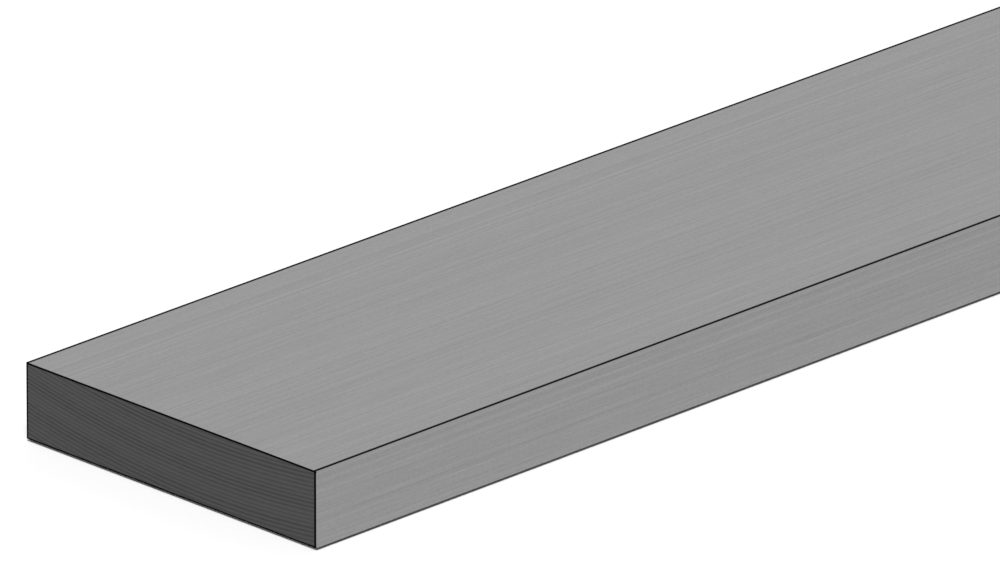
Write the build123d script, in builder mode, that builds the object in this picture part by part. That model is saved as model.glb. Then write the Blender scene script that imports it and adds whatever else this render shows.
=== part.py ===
from build123d import *
import os

# Flat bar: one length of solid drawn steel, with a rectangular section and plain sawn ends.
# It lies on a wide face, as it is stored on a rack or a floor.
# Frame: millimetres, origin at the middle of the underside, +X along the bar, +Z up.

# --- driving dimensions ---
bar_length = 1000.0  # over the two sawn ends, along X
bar_width = 50.0  # over the two narrow faces, along Y
bar_thickness = 10.0  # over the two wide faces, along Z
corner_radius = 0.1  # the tiny round that the drawing die leaves on the four long corners
end_break = 0.08  # the chamfer round each end, where the saw's burr is filed off; under corner_radius

# --- the bar ---
with BuildPart() as flat_bar:
    # The section is drawn on the plane of the left end, with its lower side on the ground.
    with BuildSketch(Plane.YZ.offset(-bar_length / 2)) as section:
        Rectangle(bar_width, bar_thickness, align=(Align.CENTER, Align.MIN))
        fillet(section.vertices(), radius=corner_radius)
    extrude(amount=bar_length)

    # Both ends are sawn square to the bar, and the rim of each is broken all the way round.
    sawn_ends = flat_bar.faces().filter_by(Axis.X)
    chamfer(sawn_ends.edges(), length=end_break)

flat_bar.part.label = "flat_bar"

# --- output ---
os.makedirs("parts", exist_ok=True)
export_step(flat_bar.part, "parts/flat_bar.step")
print(f"flat_bar: {flat_bar.part.volume / 1000:.1f} cm3, {len(flat_bar.faces())} faces")
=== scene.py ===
import bmesh
import bpy
import math
import random
from bisect import bisect_right
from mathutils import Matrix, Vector


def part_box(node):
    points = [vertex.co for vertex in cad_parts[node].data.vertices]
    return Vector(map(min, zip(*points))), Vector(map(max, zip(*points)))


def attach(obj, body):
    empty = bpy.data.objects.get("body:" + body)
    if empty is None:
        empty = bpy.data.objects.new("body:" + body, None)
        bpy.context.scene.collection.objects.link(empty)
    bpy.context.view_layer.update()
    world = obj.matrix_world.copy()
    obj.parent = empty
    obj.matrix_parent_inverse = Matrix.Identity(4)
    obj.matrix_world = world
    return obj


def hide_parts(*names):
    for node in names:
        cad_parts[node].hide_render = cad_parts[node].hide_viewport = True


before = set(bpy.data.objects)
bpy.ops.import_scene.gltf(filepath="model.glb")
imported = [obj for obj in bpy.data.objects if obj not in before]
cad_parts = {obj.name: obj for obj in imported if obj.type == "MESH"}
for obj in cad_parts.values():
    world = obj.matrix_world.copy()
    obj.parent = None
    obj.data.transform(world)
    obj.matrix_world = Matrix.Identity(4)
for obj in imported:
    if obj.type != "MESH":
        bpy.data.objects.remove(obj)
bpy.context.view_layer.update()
mm = 0.001  # the scene is in metres

# The bar's box comes from the frame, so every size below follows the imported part.
barLow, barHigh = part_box("flat_bar")
barLength = barHigh.x - barLow.x
barWidth = barHigh.y - barLow.y
barThickness = barHigh.z - barLow.z
barMiddle = (barLow + barHigh) / 2
barGirth = 2 * (barWidth + barThickness)
print(f"frame: bar {barLength / mm:.0f} x {barWidth / mm:.0f} x {barThickness / mm:.0f} mm")


def linearColour(hexCode):
    # sRGB hex to the linear colour that a shader takes
    channels = [int(hexCode[i:i + 2], 16) / 255 for i in (1, 3, 5)]
    linear = [c / 12.92 if c <= 0.04045 else ((c + 0.055) / 1.055) ** 2.4 for c in channels]
    return (*linear, 1.0)


# Options are the node's own settings, values fill its sockets and links feed them. A socket goes by its
# name, or by its number where names repeat: on a Mix, 0 is the factor, 2 and 3 are the two numbers and
# 6 and 7 the two colours.
def addNode(tree, kind, options=None, values=None, links=None):
    node = tree.nodes.new(kind)
    for name, value in (options or {}).items():
        setattr(node, name, value)
    for socket, value in (values or {}).items():
        node.inputs[socket].default_value = value
    for socket, source in (links or {}).items():
        tree.links.new(source, node.inputs[socket])
    return node


def newMaterial(name):
    material = bpy.data.materials.new(name)
    material.use_nodes = True
    material.node_tree.nodes.clear()
    return material


barShape = {
    "cornerRadius": 0.1 * mm,  # the four long corners, sharp to the hand
    "cornerSteps": 6,  # facets round each of them
    "endBreak": 0.08 * mm,  # chamfer where the saw's burr was filed off
    "endColumns": 100,  # cells of a sawn face across the width; even, so that one line is in the middle
    "endRows": 96,  # and through the thickness, about five to a saw mark
    "stationGap": 50 * mm,  # rings along the bar
}
cornerPoints = barShape["cornerSteps"] + 1  # on each round
drawnSlot, sawnSlot = 0, 1  # the order in which the bar is given its two materials

# A cold saw's blade comes down through the bar, and each pass of its teeth leaves one shallow arc.
sawCut = {
    "bladeRadius": 157.5 * mm,
    "bladeOffset": 7 * mm,  # how far the blade's centre is from the middle of the width
    "markGap": 0.55 * mm,  # feed between two marks; real ones are nearer 0.2 mm, too fine to show
    "markGapSpread": 0.10,  # how uneven the feed is
    "markDepth": 0.028 * mm,
    "shallowest": 0.55,  # share of that depth which the lightest marks have
    "wobble": 7,  # marks from one heavy cut to the next, because the blade runs a little out of true
    "wobbleSwing": 0.35,  # how much heavier and lighter the wobble makes a mark
    "chanceSwing": 0.15,  # and how much chance does
    "rimFade": 0.3 * mm,  # the marks run out in the filed rim
    "seeds": {-1: 11, 1: 29},  # left end, right end
}

# Where each stretch of surface lies on the map that the finish is baked to, in shares of the map.
bakeLayout = {
    "margin": 0.01,  # empty at the map's sides, where a face would pick up what is on the far side
    "wrapHigh": 0.76,  # the four long faces lie unrolled up to here
    "rimLength": 1 * mm,  # the last bit of the bar at each end is laid out wider, to keep the rim sharp
    "rimShare": 0.03,
    "endLow": 0.785,  # the two sawn faces lie side by side from here up
    "endWide": 0.48,
}


def alongMap(x):
    rim, start = bakeLayout["rimLength"], bakeLayout["margin"]
    rimStop = start + bakeLayout["rimShare"]
    fromEnd = barLength / 2 - abs(x)
    if fromEnd < rim:
        place = start + (rimStop - start) * fromEnd / rim
    else:
        place = rimStop + (0.5 - rimStop) * (fromEnd - rim) / (barLength / 2 - rim)
    return place if x < 0 else 1 - place


def aroundMap(distance):
    low, high = bakeLayout["margin"], bakeLayout["wrapHigh"]
    return low + (high - low) * distance / barGirth


def endMap(side, y, z):
    width, margin = bakeLayout["endWide"], bakeLayout["margin"]
    left = margin if side < 0 else 1 - margin - width
    low, high = bakeLayout["endLow"], 1 - margin
    return left + width * (y / barWidth + 0.5), low + (high - low) * z / barThickness


def aroundFlat(flat, y, z):
    # distance round the bar from the middle of its underside, for a point on one of its flats
    return (
        y,  # right half of the underside
        barWidth / 2 + z,  # right narrow face
        barWidth + barThickness - y,  # top
        barWidth * 1.5 + 2 * barThickness - z,  # left narrow face
        barGirth + y,  # left half of the underside
    )[flat]


def barCorners():
    # The four rounds of the section as rows of (y, z, distance round the bar), from the lower right one
    # up and round. Each lies between the flat of its own number and the next flat.
    radius, steps = barShape["cornerRadius"], barShape["cornerSteps"]
    right, top = barWidth / 2 - radius, barThickness - radius
    centres = [(right, radius), (right, top), (-right, top), (-right, radius)]
    corners = []
    for turn, (y, z) in enumerate(centres):
        row = []
        for step in range(steps + 1):
            angle = math.radians(90 * (turn - 1 + step / steps))
            row.append((y + radius * math.cos(angle), z + radius * math.sin(angle)))
        begin = aroundFlat(turn, *row[0])
        end = aroundFlat(turn + 1, *row[-1])
        corners.append([(*place, begin + (end - begin) * step / steps) for step, place in enumerate(row)])
    return corners


def sawMarks(seed):
    # where each ridge is along the feed, and how deep the hollow after it is
    dice = random.Random(seed)
    start = -barWidth ** 2 / sawCut["bladeRadius"]  # well below the bar, as the arcs rise to its sides
    ridges, depths = [start], []
    while ridges[-1] < barThickness + 2 * sawCut["markGap"]:
        stretch = 1 + sawCut["markGapSpread"] * dice.uniform(-1, 1)
        wobble = sawCut["wobbleSwing"] * math.sin(2 * math.pi * len(depths) / sawCut["wobble"])
        heavy = 0.5 + wobble + sawCut["chanceSwing"] * dice.uniform(-1, 1)  # 0 to 1
        ridges.append(ridges[-1] + sawCut["markGap"] * stretch)
        depths.append(sawCut["shallowest"] + (1 - sawCut["shallowest"]) * heavy)
    return ridges, depths


def sawHollow(side, y, z, marks):
    # 0 on a ridge, up to 1 in the deepest hollow
    ridges, depths = marks
    across = y - side * sawCut["bladeOffset"]
    blade = sawCut["bladeRadius"]
    feed = z - (blade - math.sqrt(blade ** 2 - across ** 2))
    mark = bisect_right(ridges, feed) - 1
    share = (feed - ridges[mark]) / (ridges[mark + 1] - ridges[mark])
    return depths[mark] * math.sin(math.pi * share) ** 2


def addFace(bm, vertices, mapPlaces, slot=drawnSlot, smooth=False):
    face = bm.faces.new(vertices)
    face.material_index = slot
    face.smooth = smooth
    bakeMap = bm.loops.layers.uv["OFBake"]
    for loop, place in zip(face.loops, mapPlaces):
        loop[bakeMap].uv = place


def buildLongFaces(bm, corners):
    # The four long faces and the rounds between them, as rings that start in the middle of the
    # underside. Gives back the ring at each end.
    outline = [(0, 0, 0), *(point for row in corners for point in row)]
    edge = barLength / 2 - barShape["endBreak"]
    inner = barLength / 2 - bakeLayout["rimLength"]
    count = round(2 * inner / barShape["stationGap"])
    stations = [-edge, *(-inner + 2 * inner * i / count for i in range(count + 1)), edge]
    rings = [[bm.verts.new((x, y, z)) for y, z, _ in outline] for x in stations]
    along = [alongMap(x) for x in stations]
    around = [aroundMap(distance) for _, _, distance in outline] + [aroundMap(barGirth)]
    for i in range(len(stations) - 1):
        for j in range(len(outline)):
            after = (j + 1) % len(outline)
            addFace(
                bm,
                [rings[i][j], rings[i + 1][j], rings[i + 1][after], rings[i][after]],
                [(along[i], around[j]), (along[i + 1], around[j]),
                 (along[i + 1], around[j + 1]), (along[i], around[j + 1])],
                smooth=j % cornerPoints != 0,  # the rounds are smooth and the flats between them flat
            )
    return {-1: rings[0], 1: rings[-1]}


def buildSawnFace(bm, side):
    # one sawn face, with the saw marks cut into it as relief; gives back its grid of vertices
    columns, rows = barShape["endColumns"], barShape["endRows"]
    inset = barShape["endBreak"]
    halfWidth = barWidth / 2 - inset
    marks = sawMarks(sawCut["seeds"][side])
    sawDepth = bm.verts.layers.float["sawDepth"]
    grid = []
    for i in range(columns + 1):
        y = halfWidth * (2 * i / columns - 1)
        line = []
        for j in range(rows + 1):
            z = inset + (barThickness - 2 * inset) * j / rows
            hollow = sawHollow(side, y, z, marks)
            toRim = min(halfWidth - abs(y), z - inset, barThickness - inset - z)
            fade = min(1, max(0, toRim) / sawCut["rimFade"])
            x = side * (barLength / 2 - sawCut["markDepth"] * hollow * fade)
            vertex = bm.verts.new((x, y, z))
            vertex[sawDepth] = hollow
            line.append(vertex)
        grid.append(line)
    for i in range(columns):
        for j in range(rows):
            cell = [grid[i][j], grid[i + 1][j], grid[i + 1][j + 1], grid[i][j + 1]]
            addFace(bm, cell, [endMap(side, v.co.y, v.co.z) for v in cell], sawnSlot, smooth=True)
    return grid


def buildRim(bm, side, ring, grid, corners):
    # The filed chamfer between a sawn face and the long faces: one strip beside each flat, and a fan of
    # small faces at each round.
    columns, rows = barShape["endColumns"], barShape["endRows"]
    middle = columns // 2
    border = [
        [grid[i][0] for i in range(middle, columns + 1)],
        [grid[columns][j] for j in range(rows + 1)],
        [grid[i][rows] for i in range(columns, -1, -1)],
        [grid[0][j] for j in range(rows, -1, -1)],
        [grid[i][0] for i in range(middle + 1)],
    ]
    uFace = alongMap(side * barLength / 2)
    uRing = alongMap(side * (barLength / 2 - barShape["endBreak"]))
    for flat, rim in enumerate(border):
        ringPair = [ring[(flat * cornerPoints + 1) % len(ring)], ring[flat * cornerPoints]]
        places = [(uFace, aroundMap(aroundFlat(flat, v.co.y, v.co.z))) for v in rim]
        places += [(uRing, aroundMap(aroundFlat(flat, v.co.y, v.co.z))) for v in ringPair]
        addFace(bm, [*rim, *ringPair], places)
    for turn, row in enumerate(corners):
        tip = border[turn][-1]
        vTip = aroundMap((row[0][2] + row[-1][2]) / 2)
        for step in range(barShape["cornerSteps"]):
            near = 1 + turn * cornerPoints + step
            vNear, vFar = aroundMap(row[step][2]), aroundMap(row[step + 1][2])
            addFace(bm, [tip, ring[near], ring[near + 1]],
                    [(uFace, vTip), (uRing, vNear), (uRing, vFar)], smooth=True)


def buildBar():
    bm = bmesh.new()
    bm.loops.layers.uv.new("OFBake")  # the map that the finish is laid out on, by this name
    bm.verts.layers.float.new("sawDepth")
    corners = barCorners()
    rings = buildLongFaces(bm, corners)
    for side in (-1, 1):
        grid = buildSawnFace(bm, side)
        buildRim(bm, side, rings[side], grid, corners)
    bmesh.ops.recalc_face_normals(bm, faces=bm.faces)
    for edge in bm.edges:  # the rim stays crisp beside the smooth sawn face
        edge.smooth = len({face.material_index for face in edge.link_faces}) == 1
    mesh = bpy.data.meshes.new("flatBar")
    bm.to_mesh(mesh)
    bm.free()
    piece = bpy.data.objects.new("flatBar", mesh)
    bpy.context.scene.collection.objects.link(piece)
    return piece


# A thin dark line along each corner: drawing soap and oil that the die and the file leave there.
edgeFilm = {
    "colour": "#050505",
    # the two axes across each kind of corner, and how far the film reaches along each
    "reach": {
        "YZ": (0.48 * mm, 0.02 * mm),  # long corners: on the wide face, on the narrow face
        "XZ": (0.08 * mm, 0.23 * mm),  # end rim: on the wide face, on the sawn face
        "XY": (0.05 * mm, 0.34 * mm),  # end rim: on the narrow face, on the sawn face
    },
    "softness": 0.2,  # share of the reach over which it thins out
    "roughness": 0.95,  # matt, so that it stays dark where the faces shine
}


def addEdgeFilm(tree, place):
    # 1 on the line along each corner, 0 on the faces
    fromMiddle = addNode(tree, "ShaderNodeVectorMath", {"operation": "SUBTRACT"},
                         {1: barMiddle}, {0: place})
    size = addNode(tree, "ShaderNodeVectorMath", {"operation": "ABSOLUTE"},
                   links={0: fromMiddle.outputs[0]})
    inside = addNode(tree, "ShaderNodeVectorMath", {"operation": "SUBTRACT"},
                     {0: (barHigh - barLow) / 2}, {1: size.outputs[0]})
    depth = addNode(tree, "ShaderNodeSeparateXYZ", links={0: inside.outputs[0]})
    film = None
    for axes, reaches in edgeFilm["reach"].items():
        near = []
        for axis, reach in zip(axes, reaches):
            full, gone = reach * (1 - edgeFilm["softness"]), reach * (1 + edgeFilm["softness"])
            near.append(addNode(
                tree, "ShaderNodeMapRange", {"interpolation_type": "SMOOTHSTEP"},
                {"From Min": full, "From Max": gone, "To Min": 1.0, "To Max": 0.0},
                {"Value": depth.outputs[axis]},
            ).outputs[0])
        line = addNode(tree, "ShaderNodeMath", {"operation": "MULTIPLY"},
                       links={0: near[0], 1: near[1]}).outputs[0]
        if film is not None:
            line = addNode(tree, "ShaderNodeMath", {"operation": "MAXIMUM"},
                           links={0: film, 1: line}).outputs[0]
        film = line
    return film


def addGrain(tree, place, size, finish):
    # cloudy noise about 0.5, in grains of that size along each axis
    shrunk = addNode(tree, "ShaderNodeVectorMath", {"operation": "DIVIDE"}, {1: size}, {0: place})
    return addNode(tree, "ShaderNodeTexNoise", {"noise_dimensions": "3D"},
                   {"Scale": 1.0, "Detail": finish["fineness"], "Roughness": finish["harshness"]},
                   {"Vector": shrunk.outputs[0]}).outputs[0]


def addSteelSurface(tree, place, finish, level, height):
    # Bare steel that goes from the finish's first colour and roughness to its second while level goes
    # from 0 to 1, with height as its relief and the film along the corners over it.
    film = addEdgeFilm(tree, place)
    colours = [linearColour(hexCode) for hexCode in finish["colours"]]
    bareColour = addNode(tree, "ShaderNodeMix", {"data_type": "RGBA"},
                         {6: colours[0], 7: colours[1]}, {0: level})
    shownColour = addNode(tree, "ShaderNodeMix", {"data_type": "RGBA"},
                          {7: linearColour(edgeFilm["colour"])}, {0: film, 6: bareColour.outputs[2]})
    first, second = finish["roughness"]
    bareRoughness = addNode(tree, "ShaderNodeMapRange", values={"To Min": first, "To Max": second},
                            links={"Value": level})
    shownRoughness = addNode(tree, "ShaderNodeMix", {"data_type": "FLOAT"},
                             {3: edgeFilm["roughness"]}, {0: film, 2: bareRoughness.outputs[0]})
    relief = addNode(tree, "ShaderNodeBump", values={"Strength": 1.0, "Distance": finish["depth"]},
                     links={"Height": height})
    shader = addNode(tree, "ShaderNodeBsdfPrincipled", values={"Metallic": 1.0},
                     links={"Base Color": shownColour.outputs[2], "Roughness": shownRoughness.outputs[0],
                            "Normal": relief.outputs[0]})
    addNode(tree, "ShaderNodeOutputMaterial", links={"Surface": shader.outputs[0]})


# Mild steel, pickled and cold drawn through a die: an even satin grey, with fine straight lines along
# the bar where the die rubbed and a faint grain where the acid bit.
drawnSteel = {
    "colours": ("#7c7c7c", "#a3a3a3"),  # where it is dull, where it shines
    "roughness": (0.50, 0.38),
    # length and width of a streak, and its share of the contrast
    "streaks": (
        (2500 * mm, 0.28 * mm, 0.30),  # die lines, which run the whole bar; real ones are 0.05 mm apart
        (2500 * mm, 9.00 * mm, 0.04),  # broad bands where the die is worn
        (12 * mm, 0.20 * mm, 0.22),  # short drag marks of the skin; real ones are a tenth of that width
        (0.5 * mm, 0.32 * mm, 0.20),  # grain of the pickled skin; real pits are 0.05 mm
    ),
    "fineness": 2.0,  # how many finer sizes of each streak are mixed in
    "harshness": 0.55,  # and how strong they are
    "depth": 0.002 * mm,
}


def brightDrawnSteel():
    material = newMaterial("brightDrawnSteel")
    tree = material.node_tree
    place = addNode(tree, "ShaderNodeTexCoord").outputs["Object"]
    level = None  # about 0.5, lower and higher by the streaks' shares
    for length, width, share in drawnSteel["streaks"]:
        streaks = addGrain(tree, place, (length, width, width), drawnSteel)
        centre = 0.5 if level is None else 0.0
        part = addNode(tree, "ShaderNodeMapRange", {"clamp": False},
                       {"To Min": centre - share, "To Max": centre + share},
                       {"Value": streaks}).outputs[0]
        if level is not None:
            part = addNode(tree, "ShaderNodeMath", {"operation": "ADD"},
                           links={0: level, 1: part}).outputs[0]
        level = part
    addSteelSurface(tree, place, drawnSteel, level, height=level)
    return material


# The same steel, cold sawn and left so: dull and much darker than the drawn faces, partly because the
# tooth marks trap the light and partly as painted shade, standing in for the shade of a face turned from
# the light. The ridges are paler and the hollows darker, which is painted shade in the hollows.
sawnEnd = {
    "colours": ("#565656", "#3a3a3a"),  # on a ridge, in a hollow; both partly painted shade of the end, the hollow's extra darkness painted shade in it
    "roughness": (0.48, 0.62),
    # torn grain of the cut, drawn out across the bar the way the teeth went; real pits are about 0.1 mm
    "pitSize": (0.35 * mm, 1.4 * mm, 0.35 * mm),
    "pitShare": 0.35,  # of the contrast; the rest follows the saw marks' depth, as painted shade in their hollows
    "fineness": 3.0,
    "harshness": 0.6,
    "depth": 0.01 * mm,
}


def coldSawnSteel():
    material = newMaterial("coldSawnSteel")
    tree = material.node_tree
    place = addNode(tree, "ShaderNodeTexCoord").outputs["Object"]
    # the marks' depth, which darkens the hollows as painted shade
    hollow = addNode(tree, "ShaderNodeAttribute", {"attribute_name": "sawDepth"}).outputs["Fac"]
    pits = addGrain(tree, place, sawnEnd["pitSize"], sawnEnd)
    level = addNode(tree, "ShaderNodeMix", {"data_type": "FLOAT"}, {0: sawnEnd["pitShare"]},
                    {2: hollow, 3: pits}).outputs[0]
    addSteelSurface(tree, place, sawnEnd, level, height=pits)
    return material


flatBar = buildBar()
print(f"bar: {len(flatBar.data.vertices)} vertices, {len(flatBar.data.polygons)} faces")
flatBar.data.materials.append(brightDrawnSteel())  # drawnSlot
flatBar.data.materials.append(coldSawnSteel())  # sawnSlot
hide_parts("flat_bar")
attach(flatBar, "root")
print("finish: drawn steel on the long faces, sawn steel on the ends")

studio = {
    "floorSize": 200.0,  # metres, so that its edge is out of every view
    "floorGap": 0.3 * mm,  # no bar is dead straight, so most of it stands a hair above the floor
    "floorPale": "#e6e6e6",  # matt paper
    "floorShown": "#fefefe",  # how pale it is where it is seen, so that it reads as white
    "skyColour": "#ffffff",
    "skyLight": 0.36,  # how much it lights the bar
    "skyShown": 1.0,  # how bright it is where it is seen
    "keyFrom": (-0.36, -0.22, 0.90),  # towards the lamp, so its shadow falls behind the bar
    "keyStrength": 2.45,
    "keySpread": 24.0,  # degrees; a wide lamp gives a soft shadow
}


def seenRay(tree):
    # 1 for what is seen, straight on or in the metal, and 0 for what only gives light
    path = addNode(tree, "ShaderNodeLightPath").outputs
    mirrored = addNode(tree, "ShaderNodeMath", {"operation": "MAXIMUM"},
                       links={0: path["Is Glossy Ray"], 1: path["Is Transmission Ray"]})
    return addNode(tree, "ShaderNodeMath", {"operation": "MAXIMUM"},
                   links={0: path["Is Camera Ray"], 1: mirrored.outputs[0]}).outputs[0]


def buildFloor():
    mesh = bpy.data.meshes.new("studioFloor")
    half = studio["floorSize"] / 2
    z = barLow.z - studio["floorGap"]
    corners = [(-half, -half, z), (half, -half, z), (half, half, z), (-half, half, z)]
    mesh.from_pydata(corners, [], [(0, 1, 2, 3)])
    floor = bpy.data.objects.new("studioFloor", mesh)
    bpy.context.scene.collection.objects.link(floor)
    material = newMaterial("paperWhiteFloor")  # matt paper sweep, so no shine
    tree = material.node_tree
    colour = addNode(tree, "ShaderNodeMix", {"data_type": "RGBA"},
                     {6: linearColour(studio["floorPale"]), 7: linearColour(studio["floorShown"])},
                     {0: seenRay(tree)})
    shader = addNode(tree, "ShaderNodeBsdfDiffuse", links={"Color": colour.outputs[2]})
    addNode(tree, "ShaderNodeOutputMaterial", links={"Surface": shader.outputs[0]})
    mesh.materials.append(material)


def buildSky():
    world = bpy.data.worlds.new("studioSky")
    world.use_nodes = True
    tree = world.node_tree
    tree.nodes.clear()
    strength = addNode(tree, "ShaderNodeMix", {"data_type": "FLOAT"},
                       {2: studio["skyLight"], 3: studio["skyShown"]}, {0: seenRay(tree)})
    sky = addNode(tree, "ShaderNodeBackground", values={"Color": linearColour(studio["skyColour"])},
                  links={"Strength": strength.outputs[0]})
    addNode(tree, "ShaderNodeOutputWorld", links={"Surface": sky.outputs[0]})
    bpy.context.scene.world = world


def buildKeyLamp():
    lamp = bpy.data.lights.new("keyLamp", "SUN")
    lamp.energy = studio["keyStrength"]
    lamp.angle = math.radians(studio["keySpread"])
    key = bpy.data.objects.new("keyLamp", lamp)
    key.rotation_mode = "QUATERNION"
    key.rotation_quaternion = Vector(studio["keyFrom"]).to_track_quat("Z", "Y")
    bpy.context.scene.collection.objects.link(key)


buildFloor()
buildSky()
buildKeyLamp()
print("studio: floor, sky and key lamp")

# A very long lens, for a view with next to no perspective. It looks at a point beside the middle of
# the left end, so that the bar runs out of the frame at the upper right.
camera = {
    "azimuth": -45.018,  # degrees from the front, towards the left end
    "elevation": 21.626,
    "lens": 960.0,
    "distance": 3.2145,  # metres
    "aimRight": 39.74 * mm,
    "aimUp": 20.31 * mm,
}


def buildCamera():
    turn, rise = math.radians(camera["azimuth"]), math.radians(camera["elevation"])
    back = Vector((math.sin(turn) * math.cos(rise), -math.cos(turn) * math.cos(rise), math.sin(rise)))
    right = Vector((0, 0, 1)).cross(back).normalized()
    up = back.cross(right)
    leftEnd = Vector((barLow.x, barMiddle.y, barMiddle.z))
    aim = leftEnd + right * camera["aimRight"] + up * camera["aimUp"]
    data = bpy.data.cameras.new("camera")
    data.lens = camera["lens"]
    view = bpy.data.objects.new("camera", data)
    view.location = aim + back * camera["distance"]
    view.rotation_mode = "QUATERNION"
    view.rotation_quaternion = back.to_track_quat("Z", "Y")
    bpy.context.scene.collection.objects.link(view)
    bpy.context.scene.camera = view


buildCamera()
bpy.context.scene.view_settings.view_transform = "Standard"
print("camera: set")
